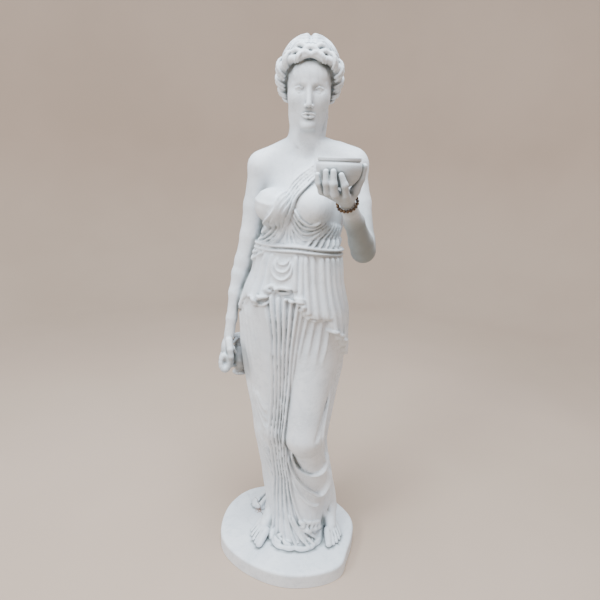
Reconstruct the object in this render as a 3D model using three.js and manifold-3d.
// Garden statue in white marble: a draped cup-bearer on a low rounded plinth, with a small jug in
// the lowered hand and a shallow bowl on the raised one. Figure, jug, bowl and plinth are one
// carved block. A string of brown wooden beads hangs on the raised wrist.
// Millimetres, +Z up, the figure faces -Y, origin at the middle of the plinth's underside.
// The figure is modelled as clay on a grid of distances: limbs are added with soft joins, the folds
// of the cloth are drawn on a chart wrapped round the body, and the skin of the clay is then taken
// off as a mesh and thinned to facets.

import * as THREE from 'three';
import { mergeVertices } from 'three/addons/utils/BufferGeometryUtils.js';
import Module from 'manifold-3d';

const wasm = await Module();
wasm.setup();

// ---------------------------------------------------------------- driving dimensions

const CELL = 4;                     // spacing of the clay grid
const FACETS = 5980;                // triangles left on the figure
const DETAIL_ZONES = [              // boxes that keep more facets, and how much their shape counts
  { low: [-60, -140, 1425], high: [110, -50, 1625], weight: 160 },    // face
  { low: [-90, -90, 1500], high: [140, 160, 1720], weight: 12 },      // hair
  { low: [30, -360, 1235], high: [190, -230, 1380], weight: 40 },     // raised hand
  { low: [-250, -80, 640], high: [-175, 60, 790], weight: 25 },       // lowered hand
  { low: [-150, -160, 40], high: [220, 20, 110], weight: 14 },        // feet and hem
  { low: [-135, -160, 950], high: [150, -40, 1360], weight: 8 },      // bodice
  { low: [-180, 40, 100], high: [190, 170, 1400], weight: 0.4 },      // the plain back
];

const FIGURE_LOW = [-252, -362, 40];
const FIGURE_HIGH = [268, 172, 1716];
const FIGURE_FOOT = 46;             // the figure reaches down into the plinth

const PLINTH_HEIGHT = 54;
const PLINTH_ROUND = 9;             // rounding of the plinth's top edge
const PLINTH_REACH = 240;           // middle distance from its centre to its edge
const PLINTH_OUTLINE = [            // seen from above, clockwise from the front
  [44, -245], [-20, -240], [-85, -218], [-150, -180], [-205, -128], [-236, -70], [-242, 0], [-234, 62],
  [-214, 112], [-180, 158], [-130, 190], [-60, 206], [30, 205], [110, 186], [170, 142], [215, 90],
  [242, 40], [248, -10], [236, -71], [215, -133], [198, -182], [165, -213], [110, -235],
];

const BOWL_CENTRE = [105, -276];
const BOWL_BOTTOM = 1299;
const BOWL_HEIGHT = 71;
const BOWL_RADIUS = 56.5;           // at the belly, the rim band is a little narrower
const BOWL_WALL = 5;

const JUG_CENTRE = [-178, 32];
const JUG_BOTTOM = 645;
const JUG_HEIGHT = 138;
const JUG_RADIUS = 36;
const JUG_WALL = 5;
const HANDLE_RADIUS = 6;

const WRIST = [133, -246, 1259];    // of the raised arm
const ELBOW = [204, -74, 1108];
const WRIST_RADIUS = 19.5;
const BEAD_RADIUS = 4.8;
const BEAD_COUNT = 19;
const BEAD_GAP = 1.9;               // between wrist and beads

const MARBLE = new THREE.MeshStandardMaterial({ color: 0xdfe2e6, roughness: 0.55, metalness: 0 });
const BEAD_WOOD = new THREE.MeshStandardMaterial({ color: 0x5a3a22, roughness: 0.5, metalness: 0 });

// ---------------------------------------------------------------- small helpers

const mix = (a, b, t) => a + (b - a) * t;
const mixPoint = (a, b, t) => a.map((value, i) => mix(value, b[i], t));
const clamp = (value, low, high) => Math.min(high, Math.max(low, value));
const smooth = (low, high, value) => {
  const t = clamp((value - low) / (high - low), 0, 1);
  return t * t * (3 - 2 * t);
};
const softMin = (a, b, blend) => {
  const near = Math.max(blend - Math.abs(a - b), 0) / blend;
  return Math.min(a, b) - near * near * blend * 0.25;
};
const lookUp = (table, key, column = 1) => {
  if (key <= table[0][0]) return table[0][column];
  for (let i = 1; i < table.length; i++) {
    const [low, high] = [table[i - 1], table[i]];
    if (key <= high[0]) return mix(low[column], high[column], (key - low[0]) / (high[0] - low[0]));
  }
  return table[table.length - 1][column];
};
const radians = Math.PI / 180;

// ---------------------------------------------------------------- clay

// A ball with three radii, turned about Z, then about X, by degrees.
function ball(centre, radii, turnZ = 0, turnX = 0) {
  const [rx, ry, rz] = Array.isArray(radii) ? radii : [radii, radii, radii];
  const reach = Math.max(rx, ry, rz);
  const [cz, sz] = [Math.cos(turnZ * radians), Math.sin(turnZ * radians)];
  const [cx, sx] = [Math.cos(turnX * radians), Math.sin(turnX * radians)];
  return {
    low: centre.map((c) => c - reach),
    high: centre.map((c) => c + reach),
    distance(x, y, z) {
      const [dx, dy, dz] = [x - centre[0], y - centre[1], z - centre[2]];
      const [ux, uy] = [dx * cz + dy * sz, dy * cz - dx * sz];
      const [vy, vz] = [uy * cx + dz * sx, dz * cx - uy * sx];
      const size = Math.hypot(ux / rx, vy / ry, vz / rz) + 1e-6;
      const slope = Math.hypot(ux / (rx * rx), vy / (ry * ry), vz / (rz * rz));
      return size * (size - 1) / (slope + 1e-9);
    },
  };
}

// A limb from one point to another, with a radius at each end.
function bone(from, to, radiusFrom, radiusTo = radiusFrom) {
  const along = to.map((value, i) => value - from[i]);
  const square = along[0] ** 2 + along[1] ** 2 + along[2] ** 2;
  const reach = Math.max(radiusFrom, radiusTo);
  return {
    low: from.map((value, i) => Math.min(value, to[i]) - reach),
    high: from.map((value, i) => Math.max(value, to[i]) + reach),
    distance(x, y, z) {
      const [dx, dy, dz] = [x - from[0], y - from[1], z - from[2]];
      const t = clamp((dx * along[0] + dy * along[1] + dz * along[2]) / square, 0, 1);
      const gap = Math.hypot(dx - along[0] * t, dy - along[1] * t, dz - along[2] * t);
      return gap - mix(radiusFrom, radiusTo, t);
    },
  };
}

// A grid of distances to the skin of the clay, below zero inside.
class Clay {
  constructor(low, high, cell) {
    this.low = low;
    this.cell = cell;
    this.count = high.map((value, i) => Math.ceil((value - low[i]) / cell) + 1);
    this.far = 60;
    this.values = new Float32Array(this.count[0] * this.count[1] * this.count[2]).fill(this.far);
    const [u, v, w] = [1, this.count[0], this.count[0] * this.count[1]];
    this.corners = [0, u, v, u + v, w, u + w, v + w, u + v + w];
  }

  // Whether the skin passes through the cell that starts at this grid point.
  crossed(index) {
    const inside = this.values[index] < 0;
    for (let i = 1; i < 8; i++) {
      if (this.values[index + this.corners[i]] < 0 !== inside) return true;
    }
    return false;
  }

  // Calls change(value, x, y, z) for each grid point in a box and keeps what it returns.
  each(low, high, change) {
    const { count, cell } = this;
    const first = low.map((value, i) => Math.max(0, Math.floor((value - this.low[i]) / cell)));
    const last = high.map((value, i) => Math.min(count[i] - 1, Math.ceil((value - this.low[i]) / cell)));
    for (let k = first[2]; k <= last[2]; k++) {
      for (let j = first[1]; j <= last[1]; j++) {
        let index = (k * count[1] + j) * count[0] + first[0];
        const [y, z] = [this.low[1] + j * cell, this.low[2] + k * cell];
        for (let i = first[0]; i <= last[0]; i++, index++) {
          this.values[index] = change(this.values[index], this.low[0] + i * cell, y, z);
        }
      }
    }
  }

  add(shape, blend) {
    const room = blend + 3 * this.cell;
    this.each(shape.low.map((v) => v - room), shape.high.map((v) => v + room),
      (value, x, y, z) => softMin(value, shape.distance(x, y, z), blend));
  }

  cut(shape, blend) {
    const room = blend + 3 * this.cell;
    this.each(shape.low.map((v) => v - room), shape.high.map((v) => v + room),
      (value, x, y, z) => -softMin(-value, shape.distance(x, y, z), blend));
  }

  valueAt(x, y, z) {
    const { count, cell, low, values } = this;
    const [fx, fy, fz] = [(x - low[0]) / cell, (y - low[1]) / cell, (z - low[2]) / cell];
    const [i, j, k] = [Math.floor(fx), Math.floor(fy), Math.floor(fz)];
    const at = (a, b, c) => values[((k + c) * count[1] + j + b) * count[0] + i + a];
    const line = (b, c) => mix(at(0, b, c), at(1, b, c), fx - i);
    return mix(mix(line(0, 0), line(1, 0), fy - j), mix(line(0, 1), line(1, 1), fy - j), fz - k);
  }

  // Closes the places where two bits of clay touch only along a grid edge or at a corner.
  weld() {
    const { count, values } = this;
    const step = [1, count[0], count[0] * count[1]];
    const inside = (index) => values[index] < 0;
    for (let pass = 0, changed = 1; changed && pass < 20; pass++) {
      changed = 0;
      for (let k = 0; k < count[2] - 1; k++) {
        for (let j = 0; j < count[1] - 1; j++) {
          for (let i = 0; i < count[0] - 1; i++) {
            const index = k * step[2] + j * step[1] + i;
            if (!this.crossed(index)) continue;
            for (let axis = 0; axis < 3; axis++) {
              const [u, v] = [step[(axis + 1) % 3], step[(axis + 2) % 3]];
              const [a, b] = [inside(index), inside(index + u)];
              const [c, d] = [inside(index + v), inside(index + u + v)];
              if (a === d && b === c && a !== b) {
                values[a ? index + u : index] = -0.01;
                changed++;
              }
            }
            const corners = this.corners.map((offset) => index + offset);
            const solid = corners.filter(inside).length;
            if (solid !== 2 && solid !== 6) continue;
            for (let bits = 0; bits < 4; bits++) {
              const [a, b] = [inside(corners[bits]), inside(corners[7 - bits])];
              if (a !== b || a !== (solid === 2)) continue;
              values[solid === 2 ? corners[bits ^ 1] : corners[bits]] = -0.01;
              changed++;
            }
          }
        }
      }
    }
  }

  // The skin: one vertex in each grid cell that it passes through, one quad across each grid edge.
  skin() {
    const { count, cell, low, values } = this;
    const step = [1, count[0], count[0] * count[1]];
    const vertexOf = new Int32Array(values.length).fill(-1);
    const points = [];
    const faces = [];
    for (let k = 0; k < count[2] - 1; k++) {
      for (let j = 0; j < count[1] - 1; j++) {
        for (let i = 0; i < count[0] - 1; i++) {
          const index = k * step[2] + j * step[1] + i;
          if (!this.crossed(index)) continue;
          const sum = [0, 0, 0];
          let crossings = 0;
          for (let axis = 0; axis < 3; axis++) {
            const [u, v] = [(axis + 1) % 3, (axis + 2) % 3];
            for (let side = 0; side < 4; side++) {
              const [su, sv] = [side & 1, side >> 1];
              const start = index + su * step[u] + sv * step[v];
              const [a, b] = [values[start], values[start + step[axis]]];
              if (a < 0 === b < 0) continue;
              sum[axis] += a / (a - b);
              sum[u] += su;
              sum[v] += sv;
              crossings++;
            }
          }
          if (!crossings) continue;
          vertexOf[index] = points.length;
          points.push([i, j, k].map((n, axis) => low[axis] + (n + sum[axis] / crossings) * cell));
        }
      }
    }
    for (let k = 1; k < count[2] - 1; k++) {
      for (let j = 1; j < count[1] - 1; j++) {
        for (let i = 1; i < count[0] - 1; i++) {
          const index = k * step[2] + j * step[1] + i;
          for (let axis = 0; axis < 3; axis++) {
            const [a, b] = [values[index] < 0, values[index + step[axis]] < 0];
            if (a === b) continue;
            const [u, v] = [step[(axis + 1) % 3], step[(axis + 2) % 3]];
            const ring = [index, index - u, index - u - v, index - v].map((n) => vertexOf[n]);
            if (b) ring.reverse();
            faces.push([ring[0], ring[1], ring[2]], [ring[0], ring[2], ring[3]]);
          }
        }
      }
    }
    return { points, faces };
  }
}

// ---------------------------------------------------------------- thinning the mesh

// Folds up the edges that matter least, by the squared distance to the planes they came from.
function thin({ points, faces }, target, importance) {
  const p = Float64Array.from(points.flat());
  const quadric = new Float64Array(points.length * 10);
  const around = points.map(() => new Set());
  const alive = new Uint8Array(faces.length).fill(1);
  const age = new Int32Array(points.length);
  const weight = points.map(importance);
  const normalOf = (a, b, c) => {
    const [ux, uy, uz] = [p[b * 3] - p[a * 3], p[b * 3 + 1] - p[a * 3 + 1], p[b * 3 + 2] - p[a * 3 + 2]];
    const [vx, vy, vz] = [p[c * 3] - p[a * 3], p[c * 3 + 1] - p[a * 3 + 1], p[c * 3 + 2] - p[a * 3 + 2]];
    return [uy * vz - uz * vy, uz * vx - ux * vz, ux * vy - uy * vx];
  };
  faces.forEach((face, f) => {
    const normal = normalOf(...face);
    const size = Math.hypot(...normal) || 1e-12;
    const [a, b, c] = normal.map((value) => value / size);
    const d = -(a * p[face[0] * 3] + b * p[face[0] * 3 + 1] + c * p[face[0] * 3 + 2]);
    const terms = [a * a, a * b, a * c, a * d, b * b, b * c, b * d, c * c, c * d, d * d];
    for (const v of face) {
      around[v].add(f);
      for (let i = 0; i < 10; i++) quadric[v * 10 + i] += terms[i] * size * weight[v];
    }
  });
  const heap = [];
  const swapUp = (entry) => {
    let i = heap.length;
    heap.push(entry);
    while (i > 0 && heap[(i - 1) >> 1].cost > entry.cost) {
      heap[i] = heap[(i - 1) >> 1];
      i = (i - 1) >> 1;
    }
    heap[i] = entry;
  };
  const takeFirst = () => {
    const first = heap[0];
    const entry = heap.pop();
    if (!heap.length) return first;
    let i = 0;
    for (;;) {
      let child = 2 * i + 1;
      if (child >= heap.length) break;
      if (child + 1 < heap.length && heap[child + 1].cost < heap[child].cost) child++;
      if (heap[child].cost >= entry.cost) break;
      heap[i] = heap[child];
      i = child;
    }
    heap[i] = entry;
    return first;
  };
  const consider = (a, b) => {
    const q = new Array(10);
    for (let i = 0; i < 10; i++) q[i] = quadric[a * 10 + i] + quadric[b * 10 + i];
    const [m, n] = [a * 3, b * 3];
    const middle = [(p[m] + p[n]) / 2, (p[m + 1] + p[n + 1]) / 2, (p[m + 2] + p[n + 2]) / 2];
    let place = middle;
    const minor = [q[4] * q[7] - q[5] * q[5], q[1] * q[7] - q[5] * q[2], q[1] * q[5] - q[4] * q[2]];
    const whole = q[0] * minor[0] - q[1] * minor[1] + q[2] * minor[2];
    if (Math.abs(whole) > 1e-4 * (q[0] + q[4] + q[7]) ** 3) {
      const [r, s, t] = [-q[3], -q[6], -q[8]];
      const best = [
        (r * minor[0] - q[1] * (s * q[7] - q[5] * t) + q[2] * (s * q[5] - q[4] * t)) / whole,
        (q[0] * (s * q[7] - q[5] * t) - r * minor[1] + q[2] * (q[1] * t - s * q[2])) / whole,
        (q[0] * (q[4] * t - s * q[5]) - q[1] * (q[1] * t - s * q[2]) + r * minor[2]) / whole,
      ];
      const edge = Math.hypot(p[m] - p[n], p[m + 1] - p[n + 1], p[m + 2] - p[n + 2]);
      if (Math.hypot(best[0] - middle[0], best[1] - middle[1], best[2] - middle[2]) < edge) place = best;
    }
    const [x, y, z] = place;
    const error = q[0] * x * x + 2 * q[1] * x * y + 2 * q[2] * x * z + 2 * q[3] * x + q[4] * y * y
      + 2 * q[5] * y * z + 2 * q[6] * y + q[7] * z * z + 2 * q[8] * z + q[9];
    const edge = Math.hypot(p[m] - p[n], p[m + 1] - p[n + 1], p[m + 2] - p[n + 2]);
    swapUp({ cost: Math.max(error, 0) + edge * edge * 0.02, a, b, place, ageA: age[a], ageB: age[b] });
  };
  const neighbours = (v) => {
    const found = new Set();
    for (const f of around[v]) for (const n of faces[f]) if (n !== v) found.add(n);
    return found;
  };
  faces.forEach(([a, b, c]) => {
    if (a < b) consider(a, b);
    if (b < c) consider(b, c);
    if (c < a) consider(c, a);
  });
  const turnsOver = (v, other, place) => {
    for (const f of around[v]) {
      const face = faces[f];
      if (face.includes(other)) continue;
      const before = normalOf(...face);
      const kept = [p[v * 3], p[v * 3 + 1], p[v * 3 + 2]];
      [p[v * 3], p[v * 3 + 1], p[v * 3 + 2]] = place;
      const after = normalOf(...face);
      [p[v * 3], p[v * 3 + 1], p[v * 3 + 2]] = kept;
      const dot = before[0] * after[0] + before[1] * after[1] + before[2] * after[2];
      if (dot < 0.25 * Math.hypot(...before) * Math.hypot(...after)) return true;
    }
    return false;
  };
  let left = faces.length;
  while (left > target && heap.length) {
    const { a, b, place, ageA, ageB } = takeFirst();
    if (age[a] !== ageA || age[b] !== ageB) continue;
    const nearA = neighbours(a);
    const nearB = neighbours(b);
    if (!nearA.has(b)) continue;
    let shared = 0;
    for (const v of nearA) if (nearB.has(v)) shared++;
    if (shared !== 2 || turnsOver(a, b, place) || turnsOver(b, a, place)) continue;
    for (const f of around[b]) {
      const face = faces[f];
      if (face.includes(a)) {
        alive[f] = 0;
        left--;
        for (const v of face) if (v !== b) around[v].delete(f);
      } else {
        faces[f] = face.map((v) => (v === b ? a : v));
        around[a].add(f);
      }
    }
    around[b].clear();
    [p[a * 3], p[a * 3 + 1], p[a * 3 + 2]] = place;
    for (let i = 0; i < 10; i++) quadric[a * 10 + i] += quadric[b * 10 + i];
    age[a]++;
    age[b] = -1;
    for (const v of neighbours(a)) consider(a, v);
  }
  const number = new Map();
  const kept = [];
  const triangles = [];
  faces.forEach((face, f) => {
    if (!alive[f]) return;
    triangles.push(face.map((v) => {
      if (!number.has(v)) {
        number.set(v, kept.length);
        kept.push([p[v * 3], p[v * 3 + 1], p[v * 3 + 2]]);
      }
      return number.get(v);
    }));
  });
  return { points: kept, faces: triangles };
}

// ---------------------------------------------------------------- chart of the drapery

// A chart wrapped round the body: the angle from the front in degrees, towards +X, and the height.
// It holds how far the cloth stands out from the body underneath: its layers, and its folds.
const AXIS_X = [[40, 17], [300, 23], [500, 3], [700, 5], [915, 2], [1100, 9], [1235, 18], [1345, 25]];
const CHART_LOW = 50;
const CHART_HIGH = 1420;
const ROW = 3;
const DEGREE = 2.05;                // width of a degree on the body, near enough

const rowCount = Math.ceil((CHART_HIGH - CHART_LOW) / ROW) + 1;
const layers = new Float32Array(360 * rowCount);
const folds = new Float32Array(360 * rowCount);

const angleAt = (x, y, z) => Math.atan2(x - lookUp(AXIS_X, z), -y) / radians;

function clothAt(x, y, z) {
  const turn = angleAt(x, y, z) + 180;
  const row = clamp((z - CHART_LOW) / ROW, 0, rowCount - 1.001);
  const [c, r] = [Math.floor(turn), Math.floor(row)];
  const at = (dc, dr) => {
    const index = (r + dr) * 360 + (c + dc) % 360;
    return layers[index] + folds[index];
  };
  return mix(mix(at(0, 0), at(1, 0), turn - c), mix(at(0, 1), at(1, 1), turn - c), row - r);
}

// A layer of cloth: thickness(angle, z) in millimetres, wherever it is more than what is there.
function layer(thickness) {
  for (let r = 0; r < rowCount; r++) {
    for (let c = 0; c < 360; c++) {
      layers[r * 360 + c] = Math.max(layers[r * 360 + c], thickness(c - 180, CHART_LOW + r * ROW));
    }
  }
}

// Evenly spaced points on a smooth curve through [angle, z] points.
function curve(points, count = 0) {
  const path = new THREE.SplineCurve(points.map(([angle, z]) => new THREE.Vector2(angle * DEGREE, z)));
  return path.getSpacedPoints(count || Math.max(3, Math.ceil(path.getLength() / 4)))
    .map((p) => [p.x / DEGREE, p.y]);
}

// A rounded fold along a curve; a negative height makes a groove. Crossing folds don't pile up.
function fold(points, height, halfWidth, fadeIn = 0.12, fadeOut = 0.12) {
  const line = curve(points);
  const columns = Math.ceil(halfWidth / DEGREE);
  const rows = Math.ceil(halfWidth / ROW);
  line.forEach(([angle, z], n) => {
    const t = n / (line.length - 1);
    const strength = smooth(0, fadeIn, t + 0.02) * smooth(0, fadeOut, 1.02 - t);
    const [column, row] = [Math.round(angle + 180), Math.round((z - CHART_LOW) / ROW)];
    for (let r = Math.max(0, row - rows); r <= Math.min(rowCount - 1, row + rows); r++) {
      for (let c = column - columns; c <= column + columns; c++) {
        const away = Math.hypot((c - 180 - angle) * DEGREE, CHART_LOW + r * ROW - z) / halfWidth;
        if (away > 1) continue;
        const rise = height * strength * (1 - away * away);
        const index = r * 360 + ((c % 360) + 360) % 360;
        folds[index] = height > 0 ? Math.max(folds[index], rise) : Math.min(folds[index], rise);
      }
    }
  });
}

// A family of folds between two guide curves.
function foldsBetween(first, last, count, height, halfWidth, fadeIn, fadeOut) {
  const [a, b] = [curve(first, 12), curve(last, 12)];
  for (let n = 0; n < count; n++) {
    const t = count > 1 ? n / (count - 1) : 0.5;
    fold(a.map((point, i) => mixPoint(point, b[i], t)), height, halfWidth, fadeIn, fadeOut);
  }
}

// ---------------------------------------------------------------- cloth

const BELT = [[-180, 1102], [-110, 1106], [-47, 1106], [-14, 1109], [12, 1106], [37, 1099], [70, 1091],
  [110, 1088], [180, 1102]];
const NECKLINE = [[-180, 1318], [-140, 1285], [-90, 1262], [-44, 1273], [-27, 1303], [-14, 1326],
  [11, 1352], [31, 1368], [48, 1420], [125, 1420], [150, 1372], [180, 1318]];
const OVERFOLD_HEM = [[-180, 908], [-140, 880], [-110, 868], [-90, 876], [-77, 900], [-72, 932],
  [-64, 948], [-54, 932], [-46, 947], [-37, 962], [-31, 982], [-22, 988], [-3, 984], [1, 953], [8, 946],
  [15, 918], [21, 898], [46, 893], [50, 850], [60, 832], [66, 800], [75, 778], [84, 742], [90, 744],
  [95, 800], [110, 850], [140, 885], [180, 908]];

function drapeBodice() {
  layer((angle, z) => 4 * smooth(0, 5, lookUp(NECKLINE, angle) - z) * smooth(1085, 1095, z));
  // the sash from the right shoulder down to the left side, and back up behind
  const sashTop = [[23, 1352], [-4, 1326], [-21, 1301], [-29, 1262], [-31, 1220], [-44, 1184], [-76, 1141]];
  const sashFoot = [[34, 1330], [11, 1303], [-5, 1275], [-13, 1249], [-18, 1214], [-32, 1153], [-52, 1096],
    [-76, 1060]];
  foldsBetween(sashTop, sashFoot, 4, 13, 8.5, 0.05, 0.05);
  foldsBetween([[-76, 1141], [-110, 1165], [-150, 1215], [-190, 1290], [-225, 1360]],
    [[-76, 1060], [-110, 1110], [-150, 1165], [-190, 1235], [-225, 1300]], 5, 9, 9, 0.03, 0.05);
  // swags under the right breast, and the gathers that run down into the belt
  foldsBetween([[-13, 1224], [-2, 1196], [10, 1180], [21, 1178], [28, 1192]],
    [[-20, 1188], [-6, 1154], [9, 1135], [28, 1141], [43, 1163], [54, 1186]], 4, 6, 6);
  foldsBetween([[12, 1116], [25, 1138], [42, 1166], [48, 1188]], [[66, 1106], [72, 1132], [77, 1172]],
    6, 7, 6, 0.05);
  foldsBetween([[-22, 1116], [-25, 1145], [-21, 1190]], [[-4, 1116], [-12, 1142], [-18, 1178]], 3, 5, 5);
  foldsBetween([[88, 1112], [92, 1170], [100, 1260]], [[168, 1112], [165, 1165], [150, 1240]], 7, 6, 8);
  // the thin edge across the left breast
  fold([[-70, 1256], [-57, 1247], [-44, 1239], [-36, 1235], [-30, 1243], [-28, 1275]], 4, 6);
  fold([[-72, 1275], [-57, 1268], [-44, 1271], [-30, 1298], [-14, 1324]], 3, 5);
}

function drapeOverfold() {
  layer((angle, z) => {
    const hem = lookUp(OVERFOLD_HEM, angle);
    const waist = lookUp(BELT, angle) - 6;
    return smooth(0, 4, z - hem) * mix(15, 5, (z - hem) / (waist - hem)) * smooth(0, 14, waist - z);
  });
  const pleats = [[-64, 960, -62, 8], [-52, 940, -50, 9], [-41, 966, -40, 9], [0, 990, -2, 9],
    [9, 952, 7, 8], [20, 920, 13, 9], [31, 900, 24, 6], [43, 900, 38, 7], [53, 850, 47, 9],
    [63, 820, 56, 9], [73, 786, 66, 10], [83, 755, 76, 11]];
  for (const [foot, footZ, top, height] of pleats) {
    fold([[top, 1090], [mix(top, foot, 0.6), mix(1090, footZ, 0.6)], [foot, footZ]], height, 9, 0.1, 0.02);
  }
  foldsBetween([[96, 1086], [99, 950], [100, 810]], [[262, 1092], [268, 990], [276, 910]],
    13, 9, 9, 0.05, 0.02);
  // small hanging loops under the belt
  foldsBetween([[-30, 1080], [-26, 1063], [-17, 1063], [-11, 1080]],
    [[-37, 1070], [-34, 1032], [-21, 1016], [-9, 1033], [-6, 1070]], 3, 6, 5);
  for (const rise of [-7, 0, 7]) fold(BELT.map(([angle, z]) => [angle, z + rise]), 12, 5.5, 0, 0);
}

function drapeSkirt() {
  layer((angle, z) => 2 * smooth(1090, 1080, z));
  // the bundle that hangs between the legs and spreads on the plinth
  foldsBetween([[-42, 965], [-33, 855], [-34, 608], [-44, 408], [-52, 230], [-48, 80]],
    [[6, 950], [-2, 792], [-7, 611], [-11, 496], [-15, 331], [-2, 236], [18, 140], [44, 66]],
    6, 12, 7, 0.02, 0.02);
  fold([[12, 940], [5, 810], [-5, 633]], 7, 8, 0.05, 0.3);
  // short folds at the top of the relaxed thigh, long faint ones down the standing leg
  foldsBetween([[20, 900], [14, 828], [7, 740]], [[50, 890], [44, 799], [36, 730]], 4, 5, 7, 0.02, 0.5);
  foldsBetween([[-78, 900], [-72, 760], [-66, 640]], [[-55, 930], [-52, 820], [-48, 700]],
    4, 4, 7, 0.05, 0.5);
  // drawn in at the standing knee and calf
  foldsBetween([[-72, 640], [-60, 560], [-45, 482]], [[-60, 625], [-53, 585], [-44, 556]],
    3, 6, 6, 0.2, 0.2);
  foldsBetween([[-66, 560], [-62, 470], [-52, 380], [-48, 300]],
    [[-80, 560], [-76, 440], [-62, 330], [-54, 250]], 3, 7, 7, 0.15, 0.1);
  // behind the relaxed knee, and the two loops that hang below it
  fold([[54, 640], [42, 576], [35, 523], [29, 486]], -9, 7, 0.2, 0.2);
  foldsBetween([[58, 660], [48, 570], [42, 500], [46, 430], [58, 360]],
    [[76, 680], [70, 560], [68, 470], [72, 400], [78, 340]], 3, 7, 8, 0.2, 0.1);
  fold([[-2, 420], [2, 376], [11, 348], [23, 335], [34, 331], [46, 338], [56, 362], [63, 410]], 13, 7.5);
  fold([[-11, 400], [-7, 350], [4, 308], [19, 277], [38, 248], [54, 226], [64, 238], [70, 275], [74, 330]],
    13, 7.5);
  fold([[-6, 300], [6, 262], [24, 222], [44, 190], [62, 186]], 8, 8, 0.2, 0.2);
  // the back falls in plain pleats
  foldsBetween([[86, 800], [84, 520], [80, 250], [82, 70]], [[278, 880], [276, 600], [284, 300], [292, 70]],
    15, 11, 10, 0.02, 0);
}

// ---------------------------------------------------------------- the body

// Half-widths of the robe by height: left, right, front and back of the axis.
const ROBE = [
  [40, -52, 128, -128, 126], [70, -52, 128, -124, 122], [137, -50, 132, -102, 116],
  [200, -58, 139, -88, 108], [300, -68, 132, -76, 104], [350, -82, 128, -74, 100],
  [400, -95, 122, -74, 97], [430, -105, 120, -75, 97], [540, -119, 134, -80, 99],
  [610, -134, 143, -88, 102], [700, -150, 158, -98, 110], [780, -159, 161, -108, 118],
  [860, -159, 158, -111, 122], [915, -158, 152, -111, 123], [975, -145, 145, -107, 113],
  [1025, -128, 139, -100, 103], [1073, -118, 133, -94, 98], [1100, -112, 130, -91, 95],
];

const robe = {
  low: [-180, -140, 40],
  high: [190, 140, 1110],
  distance(x, y, z) {
    const [left, right, front, back] = [1, 2, 3, 4].map((column) => lookUp(ROBE, z, column));
    const [rx, ry] = [(right - left) / 2, y < 0 ? -front : back];
    const dx = x - (left + right) / 2;
    const size = Math.hypot(dx / rx, y / ry) + 1e-6;
    const slope = Math.hypot(dx / (rx * rx), y / (ry * ry));
    return Math.max(size * (size - 1) / (slope + 1e-9), z - 1100, 44 - z);
  },
};

// [from, to, radius, radius, blend]
const BODY_BONES = [
  [[-74, -8, 880], [-58, -30, 480], 84, 46, 18], [[-58, -30, 480], [-38, 26, 130], 45, 28, 18],
  [[70, -18, 880], [50, -98, 482], 84, 60, 18], [[50, -98, 482], [140, 34, 130], 54, 32, 18],
  [[0, 12, 1402], [-104, 8, 1340], 34, 42, 26], [[50, 12, 1402], [161, 6, 1354], 34, 43, 26],
  [[-98, 10, 1330], [158, 4, 1338], 42, 44, 30],
];
const BODY_BALLS = [
  [[-2, 5, 915], [150, 113, 128], 30], [[8, 0, 1060], [116, 88, 128], 40],
  [[18, 5, 1215], [124, 92, 158], 40], [[-72, -75, 1230], [48, 48, 50], 22],
  [[52, -79, 1232], [52, 50, 54], 22],
  [[-62, 66, 900], [72, 70, 84], 30], [[66, 62, 905], [72, 70, 84], 30],
];

// Chains of bones: [radius, x, y, z] at each joint.
const LOWERED_ARM = [[42, -105, 8, 1334], [34, -129, 12, 1220], [31, -143, 14, 1127], [28, -163, 14, 1045],
  [25, -176, 10, 1002], [20, -190, 2, 940], [16.5, -201, -6, 856], [17, -209, -10, 797]];
const LIMBS = [
  [[48, 22, 14, 1372], [48, 21, 8, 1425], [47, 20, 5, 1480], [46, 24, 5, 1520]],           // neck
  LOWERED_ARM,
  [[42, 164, 6, 1344], [34, 190, -18, 1240], [33, 205, -62, 1130], [35, 204, -76, 1106],
    [34, 191, -106, 1138], [27, 161, -176, 1202], [WRIST_RADIUS, ...WRIST]],
];
const LIMB_BLEND = 12;

const RAISED_HAND = [
  [[18, 131, -252, 1264], [13, 92, -280, 1281], [9, 64, -300, 1289], [8, 56, -315, 1308],
    [6.5, 52, -318, 1328]],
  [[18, 130, -254, 1265], [13, 100, -292, 1280], [9.5, 78, -319, 1288], [8.5, 73, -333, 1310],
    [7, 71, -334, 1336]],
  [[18, 130, -256, 1265], [13, 110, -300, 1276], [10, 95, -328, 1284], [9, 90, -340, 1308],
    [7, 88, -340, 1337]],
  [[18, 131, -256, 1266], [13, 124, -294, 1275], [10, 121, -320, 1283], [9, 116, -336, 1306],
    [7, 107, -337, 1329]],
  [[17, 134, -250, 1266], [13, 149, -260, 1290], [10, 161, -268, 1320], [8, 167, -275, 1350]],
];

const FIST_FINGERS = 4;
const FIST_THUMB = [[12, -208, -26, 784], [10, -202, -42, 758], [9, -199, -46, 734], [8, -202, -42, 716]];

const SKULL_CENTRE = [26, 2, 1572];
// relative to the middle of the skull
const HEAD_BALLS = [
  [[0, 14, 22], [70, 86, 82], 10], [[0, -20, -38], [57, 58, 92], 24], [[0, -57, -118], [20, 18, 18], 16],
  [[-34, -42, -42], [24, 28, 32], 16], [[34, -42, -42], [24, 28, 32], 16],
  [[0, -64, 12], [44, 18, 30], 20],
];
const FACE_BALLS = [
  [[-28, -61, -26], [14, 12, 9], 3], [[28, -61, -26], [14, 12, 9], 3],
  [[-8, -69, -91], [12, 8, 4.5], 4], [[8, -69, -91], [12, 8, 4.5], 4], [[0, -68, -99.5], [13, 8, 5.5], 4],
  [[-8.5, -78, -70], [6, 8, 5.5], 4], [[8.5, -78, -70], [6, 8, 5.5], 4],
];

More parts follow.
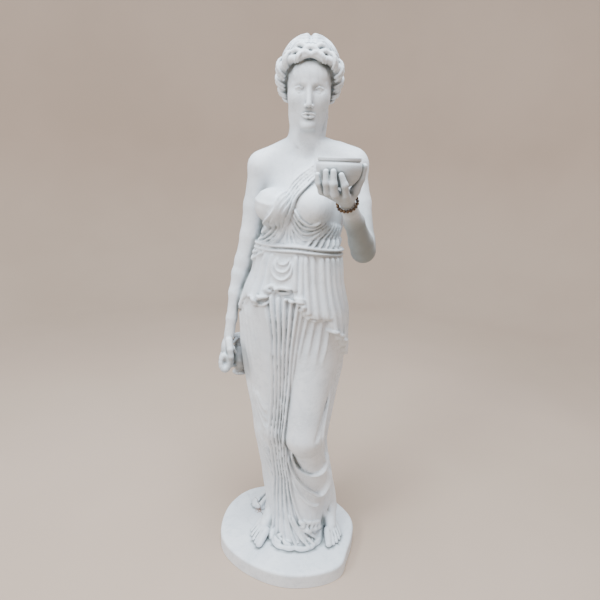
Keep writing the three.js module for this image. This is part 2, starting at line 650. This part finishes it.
function addRobe(clay) {
  clay.add(robe, 10);
  for (const [from, to, a, b, blend] of BODY_BONES) clay.add(bone(from, to, a, b), blend);
  for (const [centre, radii, blend] of BODY_BALLS) clay.add(ball(centre, radii), blend);
  drapeBodice();
  drapeOverfold();
  drapeSkirt();
  // the cloth lies flat where the lowered arm rests against it
  const bones = LOWERED_ARM.slice(1).map(([radius, ...to], i) => {
    const [startRadius, ...from] = LOWERED_ARM[i];
    return bone(from, to, startRadius, radius);
  });
  const arm = (x, y, z) => (x > -60 ? 99 : Math.min(...bones.map((part) => part.distance(x, y, z))));
  clay.each([-260, -200, CHART_LOW], [260, 200, CHART_HIGH], (value, x, y, z) => (
    Math.abs(value) > 40 ? value : value - clothAt(x, y, z) * smooth(-8, 22, arm(x, y, z))));
}

function addChain(clay, chain, blend) {
  for (let i = 1; i < chain.length; i++) {
    const [[ra, ...a], [rb, ...b]] = [chain[i - 1], chain[i]];
    clay.add(bone(a, b, ra, rb), blend);
  }
}

// A roll of cloth laid on the surface along a curve on the chart.
function addRoll(clay, points, radius, lift = 0) {
  const placed = curve(points).map(([angle, z]) => {
    const [sx, sy] = [Math.sin(angle * radians), -Math.cos(angle * radians)];
    let reach = 30;
    while (clay.valueAt(lookUp(AXIS_X, z) + sx * reach, sy * reach, z) < 0 && reach < 200) reach += 1;
    return [radius, lookUp(AXIS_X, z) + sx * (reach + lift), sy * (reach + lift), z];
  });
  addChain(clay, placed, 3);
}

function addHems(clay) {
  // rolled turns of the overfold's hem
  addRoll(clay, [[-74, 905], [-70, 932], [-62, 952], [-52, 950], [-50, 938], [-57, 932]], 4);
  addRoll(clay, [[-54, 934], [-46, 930], [-38, 938], [-36, 956], [-42, 962]], 4);
  addRoll(clay, [[-44, 964], [-37, 962], [-31, 975], [-27, 988], [-33, 994], [-38, 984], [-32, 978]], 4);
  addRoll(clay, [[-26, 988], [-17, 992], [-8, 987], [-9, 976], [-20, 974], [-27, 984]], 4);
  addRoll(clay, [[-12, 958], [-3, 952], [6, 954], [12, 950], [13, 934], [8, 928], [14, 920], [15, 910]], 4);
  addRoll(clay, [[4, 944], [12, 940]], 4);
  addRoll(clay, [[15, 916], [19, 902], [28, 892], [40, 893], [47, 897]], 4);
  addRoll(clay, [[46, 858], [52, 852], [57, 848], [60, 836]], 4);
  addRoll(clay, [[60, 836], [66, 832], [68, 815], [74, 806], [78, 780]], 4);
  // the hem that pools between the feet
  const pool = [[7, -40, -96, 62], [8, -32, -122, 61], [8, 4, -139, 60], [8, 34, -134, 60],
    [8, 68, -138, 60], [8, 98, -122, 61], [7, 116, -88, 62]];
  addChain(clay, pool, 8);
  addChain(clay, [[7, -26, -118, 68], [7, 2, -124, 72], [6, 14, -112, 74], [6, 4, -104, 72]], 5);
  addChain(clay, [[6, 92, -116, 66], [7, 104, -98, 74], [6, 112, -104, 66]], 4);
  // cloth that trails behind the standing foot
  clay.add(ball([-98, 92, 60], [48, 34, 20], 20), 16);
  addChain(clay, [[7, -128, 74, 62], [8, -120, 96, 68], [8, -92, 112, 84], [7, -74, 104, 110]], 10);
  addChain(clay, [[6, -118, 62, 60], [7, -100, 76, 70], [7, -78, 84, 92]], 8);
  // lumps of cloth over the right ankle
  for (const centre of [[112, -34, 96], [140, -28, 104], [160, -2, 92], [122, 4, 120]]) {
    clay.add(ball(centre, [25, 20, 17.5], -20), 12);
  }
}

// A bare foot: heel, instep and five toes fanned from the ball of the foot.
function addFoot(clay, heel, ankle, bigToe, smallToe, side) {
  clay.add(bone(heel, ankle, 30, 33), 14);
  const ballOfFoot = mixPoint(bigToe, smallToe, 0.45).map((v, i) => mix(v, heel[i], [0.3, 0.3, 0][i]));
  clay.add(bone(ankle, [ballOfFoot[0], ballOfFoot[1], 78], 32, 20), 16);
  for (let n = 0; n < 5; n++) {
    const tip = mixPoint(bigToe, smallToe, [0, 0.32, 0.55, 0.78, 1][n]);
    tip[1] -= [0, 9, 9, 4, -4][n];
    tip[0] += side * [0, 2, 5, 6, 3][n];
    const root = mixPoint(tip, heel, 0.27);
    const radius = [11.5, 8.5, 8, 7.5, 7.5][n];
    clay.add(bone([root[0], root[1], 74], [tip[0], tip[1], 54 + radius * 0.8], radius + 4, radius), 3);
  }
}

function addFeet(clay) {
  addFoot(clay, [-18, 74, 78], [-44, 24, 108], [-93, -128, 64], [-119, -64, 64], -1);
  addFoot(clay, [146, 84, 78], [150, 32, 108], [152, -116, 64], [190, -70, 64], 1);
}

function addFist(clay) {
  clay.add(ball([-218, -8, 742], [19, 28, 48], 6), 10);
  for (let n = 0; n < FIST_FINGERS; n++) {
    const y = -34 + n * 15;
    const rise = 12 + n * 2;
    addChain(clay, [[11, -228, y, 716 + rise], [10, -227, y - 2, 692 + rise], [9, -214, y - 3, 680 + rise],
      [8.5, -202, y - 1, 688 + rise], [8, -203, y + 2, 704 + rise]], 3);
  }
  addChain(clay, FIST_THUMB, 4);
}

function addHead(clay) {
  const place = (centre) => centre.map((value, i) => value + SKULL_CENTRE[i]);
  for (const [centre, radii, blend] of HEAD_BALLS) clay.add(ball(place(centre), radii), blend);
  for (const side of [-1, 1]) {
    clay.cut(ball(place([side * 28, -84, -25]), [17, 15, 11]), 8);
    clay.add(bone(place([side * 12, -74, -10]), place([side * 42, -58, -13]), 6, 5), 10);
  }
  clay.add(bone(place([0, -74, -10]), place([0, -85, -66]), 6, 7.5), 7);
  for (const [centre, radii, blend] of FACE_BALLS) clay.add(ball(place(centre), radii), blend);
}

// Hair waved from a middle parting, thick rolls round the face, and a knot behind.
function addHair(clay) {
  const [hx, hy, hz] = SKULL_CENTRE;
  const cap = ball([hx + 1, hy + 18, hz + 43], [82, 90, 83]);
  const waves = {
    low: cap.low,
    high: cap.high,
    distance(x, y, z) {
      const [dx, dy, dz] = [Math.abs(x - hx), y - hy - 20, z - hz - 6];
      const turn = Math.atan2(dz, -dy);
      const rows = Math.cos(turn * 13 + 1.3 * Math.sin(dx / 9) + dx * 0.02);
      const part = Math.exp(-((dx / 5) ** 2)) * 4;
      const face = -dy - 62 - (dz - 30) * 0.35 + dx * 0.05;
      return Math.max(cap.distance(x, y, z) - 3 * rows + part, face, -dz - 52);
    },
  };
  clay.add(waves, 4);
  for (const side of [-1, 1]) {
    const roll = [[9, 4, -82, 58], [12, 30, -76, 52], [15, 57, -60, 48], [17, 74, -40, 34],
      [16, 79, -20, 10], [14, 77, -8, -14], [11, 70, 4, -34], [8, 62, 10, -46]];
    addChain(clay, roll.map(([r, x, y, z]) => [r, hx + side * x, hy + y, hz + z]), 6);
    for (let n = 0; n < 7; n++) {
      const t = n / 6;
      clay.add(ball([hx + side * mix(50, 82, Math.sqrt(t)), hy + mix(-72, -2, t), hz + mix(48, -34, t)],
        [11, 12, 9], 30 * side), 3);
    }
  }
  clay.add(ball([hx, hy + 104, hz + 4], [40, 36, 36]), 8);
  // a lock beside the neck
  const lock = [[8, 50, 16, -50], [8, 50, 6, -90], [6, 47, -4, -140]];
  addChain(clay, lock.map(([r, x, y, z]) => [r, hx + x, hy + y, hz + z]), 4);
}

// ---------------------------------------------------------------- solids from three.js geometry

function solid(geometry) {
  const plain = geometry.index ? geometry.toNonIndexed() : geometry.clone();
  plain.deleteAttribute('normal');
  plain.deleteAttribute('uv');
  const merged = mergeVertices(plain, 1e-4);
  const triangles = [];
  const index = merged.index.array;
  for (let i = 0; i < index.length; i += 3) {
    const [a, b, c] = [index[i], index[i + 1], index[i + 2]];
    if (a !== b && b !== c && c !== a) triangles.push(a, b, c);
  }
  return new wasm.Manifold(new wasm.Mesh({
    numProp: 3,
    vertProperties: Float32Array.from(merged.attributes.position.array),
    triVerts: Uint32Array.from(triangles),
  }));
}

function solidOf({ points, faces }) {
  return new wasm.Manifold(new wasm.Mesh({
    numProp: 3,
    vertProperties: Float32Array.from(points.flat()),
    triVerts: Uint32Array.from(faces.flat()),
  }));
}

function geometryOf(manifold) {
  const { vertProperties, triVerts } = manifold.getMesh();
  const geometry = new THREE.BufferGeometry();
  geometry.setAttribute('position', new THREE.BufferAttribute(vertProperties, 3));
  geometry.setIndex(new THREE.BufferAttribute(triVerts, 1));
  geometry.computeVertexNormals();
  return geometry;
}

// A turned body about an upright axis, from [radius, z] points.
function turned(profile, [x, y], z, segments) {
  const geometry = new THREE.LatheGeometry(profile.map(([r, h]) => new THREE.Vector2(r, h)), segments);
  geometry.rotateX(Math.PI / 2);
  geometry.translate(x, y, z);
  return solid(geometry);
}

function makePlinth() {
  const inset = 1 - PLINTH_ROUND / PLINTH_REACH;
  const corners = [...PLINTH_OUTLINE, PLINTH_OUTLINE[0]].map(([x, y]) => new THREE.Vector2(x * inset, y * inset));
  const shape = new THREE.Shape(new THREE.SplineCurve(corners).getSpacedPoints(48).slice(0, -1));
  const geometry = new THREE.ExtrudeGeometry(shape, {
    depth: PLINTH_HEIGHT - PLINTH_ROUND,
    bevelThickness: PLINTH_ROUND,
    bevelSize: PLINTH_ROUND,
    bevelSegments: 3,
  });
  const lowered = solid(geometry);
  const below = new THREE.BoxGeometry(700, 700, 100).translate(0, 0, -50);
  return lowered.subtract(solid(below));
}

function makeBowl() {
  const rim = BOWL_HEIGHT;
  const outer = [[0, 0], [20, 0], [38, 8], [52, 24], [BOWL_RADIUS, 42], [BOWL_RADIUS - 1, 54],
    [BOWL_RADIUS - 4, 60], [BOWL_RADIUS - 3, 63], [BOWL_RADIUS - 3, rim - 1],
    [BOWL_RADIUS - 5, rim], [0, rim]];
  const inner = [[0, 12], [20, 13], [38, 22], [48, 38], [BOWL_RADIUS - BOWL_WALL - 3, 52],
    [BOWL_RADIUS - BOWL_WALL - 4, rim + 1], [0, rim + 1]];
  return {
    body: turned(outer, BOWL_CENTRE, BOWL_BOTTOM, 28),
    hollow: turned(inner, BOWL_CENTRE, BOWL_BOTTOM, 20),
  };
}

function makeJug() {
  const top = JUG_HEIGHT;
  const outer = [[0, 0], [26, 0], [27, 5], [18, 13], [20, 18], [JUG_RADIUS - 3, 36], [JUG_RADIUS, 56],
    [JUG_RADIUS - 5, 80], [23, 100], [19, 112], [21, 126], [27, top], [0, top]];
  const inner = [[0, 24], [JUG_RADIUS - JUG_WALL - 6, 34], [JUG_RADIUS - JUG_WALL - 1, 56],
    [JUG_RADIUS - JUG_WALL - 7, 78], [18, 98], [14.5, 112], [16.5, 126], [23, top + 1], [0, top + 1]];
  return {
    body: turned(outer, JUG_CENTRE, JUG_BOTTOM, 20),
    hollow: turned(inner, JUG_CENTRE, JUG_BOTTOM, 20),
  };
}

function makeHandle() {
  const [x, y] = JUG_CENTRE;
  const path = new THREE.CatmullRomCurve3([[-8, -22, 134], [-22, -46, 128], [-34, -58, 100],
    [-34, -56, 62], [-22, -40, 40], [-10, -24, 36]].map(([dx, dy, dz]) => (
    new THREE.Vector3(x + dx, y + dy, JUG_BOTTOM + dz))));
  const ring = new THREE.Shape().absarc(0, 0, HANDLE_RADIUS, 0, 2 * Math.PI);
  return solid(new THREE.ExtrudeGeometry(ring, { steps: 16, curveSegments: 4, extrudePath: path }));
}

function makeBracelet() {
  const along = new THREE.Vector3(...WRIST).sub(new THREE.Vector3(...ELBOW)).normalize();
  const across = new THREE.Vector3(1, 0, 0).cross(along).normalize();
  const aside = along.clone().cross(across);
  const centre = new THREE.Vector3(...WRIST).addScaledVector(along, -2);
  const reach = WRIST_RADIUS + BEAD_GAP + BEAD_RADIUS;
  let beads = null;
  for (let n = 0; n < BEAD_COUNT; n++) {
    const turn = 2 * Math.PI * n / BEAD_COUNT;
    const place = centre.clone().addScaledVector(across, reach * Math.cos(turn))
      .addScaledVector(aside, reach * Math.sin(turn));
    const string = across.clone().multiplyScalar(-Math.sin(turn)).addScaledVector(aside, Math.cos(turn));
    const threaded = new THREE.Quaternion().setFromUnitVectors(new THREE.Vector3(0, 1, 0), string);
    const sphere = new THREE.SphereGeometry(BEAD_RADIUS, 5, 4).applyQuaternion(threaded);
    const bead = solid(sphere.translate(...place));
    beads = beads ? beads.add(bead) : bead;
  }
  return beads;
}

// ---------------------------------------------------------------- the whole statue

function makeFigure() {
  const clay = new Clay(FIGURE_LOW, FIGURE_HIGH, CELL);
  addRobe(clay);
  for (const limb of LIMBS) addChain(clay, limb, LIMB_BLEND);
  addHems(clay);
  addFeet(clay);
  for (const finger of RAISED_HAND) addChain(clay, finger, 4);
  addFist(clay);
  addHead(clay);
  addHair(clay);
  clay.each(FIGURE_LOW, FIGURE_HIGH, (value, x, y, z) => Math.max(value, FIGURE_FOOT - z));
  clay.weld();
  const detail = (point) => {
    const zone = DETAIL_ZONES.find(({ low, high }) => point.every((v, i) => v >= low[i] && v <= high[i]));
    return zone ? zone.weight : 1;
  };
  return solidOf(thin(clay.skin(), FACETS, detail));
}

function makeStatue() {
  const bowl = makeBowl();
  const jug = makeJug();
  return makeFigure().add(makePlinth()).add(bowl.body).add(jug.body).add(makeHandle())
    .subtract(bowl.hollow).subtract(jug.hollow);
}

const statue = new THREE.Mesh(geometryOf(makeStatue()), MARBLE);
statue.name = 'statue';

const bracelet = new THREE.Mesh(geometryOf(makeBracelet()), BEAD_WOOD);
bracelet.name = 'bracelet';

const group = new THREE.Group();
group.add(statue, bracelet);

export default group;
